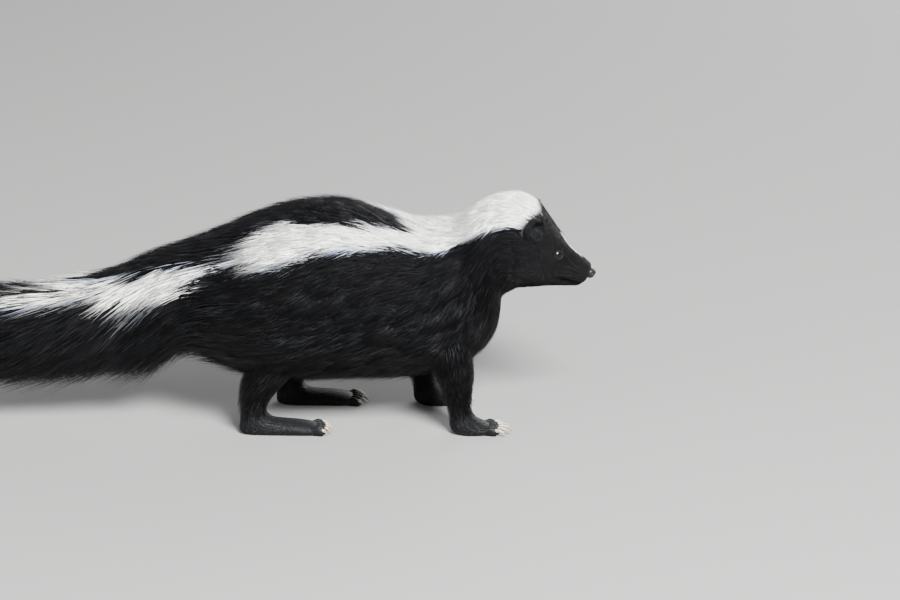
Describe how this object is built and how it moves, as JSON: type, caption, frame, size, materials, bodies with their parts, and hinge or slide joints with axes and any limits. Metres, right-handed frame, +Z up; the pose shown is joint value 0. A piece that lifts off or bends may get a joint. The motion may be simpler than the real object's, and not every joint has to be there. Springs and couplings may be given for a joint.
{
  "type": "striped skunk model",
  "caption": "Still life-size model of a striped skunk standing on four feet, head lowered, white cap and stripes on black fur, full tail trailed behind.",
  "frame": {"origin": "on the floor under the middle of the whole animal, halfway between its nose and the tip of its tail", "axes": "+X towards the nose, +Y towards the animal's left side, +Z up from the floor it stands on"},
  "size_m": [0.6438, 0.1598, 0.2078],
  "materials": {
    "fur": "long soft fur, black with white cap, stripes and tail patch",
    "nose_skin": "moist bare skin",
    "eye": "wet gloss",
    "paw": "short fur over bare soles, horn claws"
  },
  "bodies": {
    "root": {"head": "fur", "nose": "nose_skin", "neck": "fur", "torso_front": "fur", "torso_rear": "fur", "tail_base": "fur", "tail_middle": "fur", "tail_tip": "fur", "ear_left": "fur", "eye_left": "eye", "front_leg_left": "fur", "front_foot_left": "paw", "hind_leg_left": "fur", "hind_foot_left": "paw", "ear_right": "fur", "eye_right": "eye", "front_leg_right": "fur", "front_foot_right": "paw", "hind_leg_right": "fur", "hind_foot_right": "paw"}
  },
  "joints": []
}
